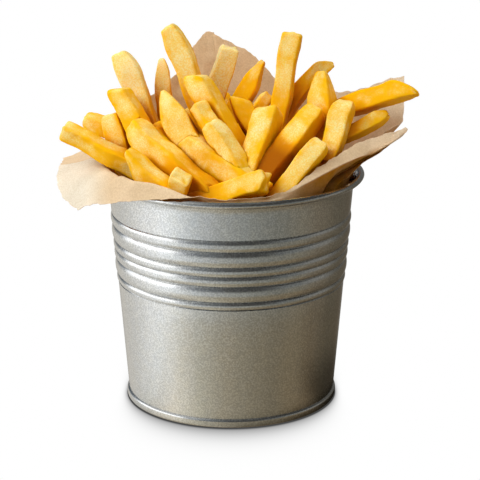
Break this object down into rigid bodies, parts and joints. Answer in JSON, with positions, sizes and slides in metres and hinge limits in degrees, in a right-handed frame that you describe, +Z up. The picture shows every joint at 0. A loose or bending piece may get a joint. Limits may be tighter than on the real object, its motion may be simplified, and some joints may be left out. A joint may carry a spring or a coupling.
{
  "type": "french fries in a paper-lined steel pail",
  "caption": "Heap of thick-cut fries in a small ribbed galvanised pail with a rolled rim, lined with a loose sheet of brown paper.",
  "frame": {"origin": "centre of the pail's underside, on the surface that it stands on", "axes": "+Z up along the pail's axis, -Y towards the front from which the heap is seen, +X to the right seen from the front"},
  "size_m": [0.1607, 0.1222, 0.1699],
  "materials": {
    "steel": "galvanised, fine grained, satin",
    "paper": "unbleached kraft, crumpled, matt",
    "fries": "fried potato, golden, dry with a slight oily sheen"
  },
  "bodies": {
    "root": {"pail_wall": "steel", "pail_base": "steel", "paper_liner": "paper", "fries": "fries"}
  },
  "joints": []
}
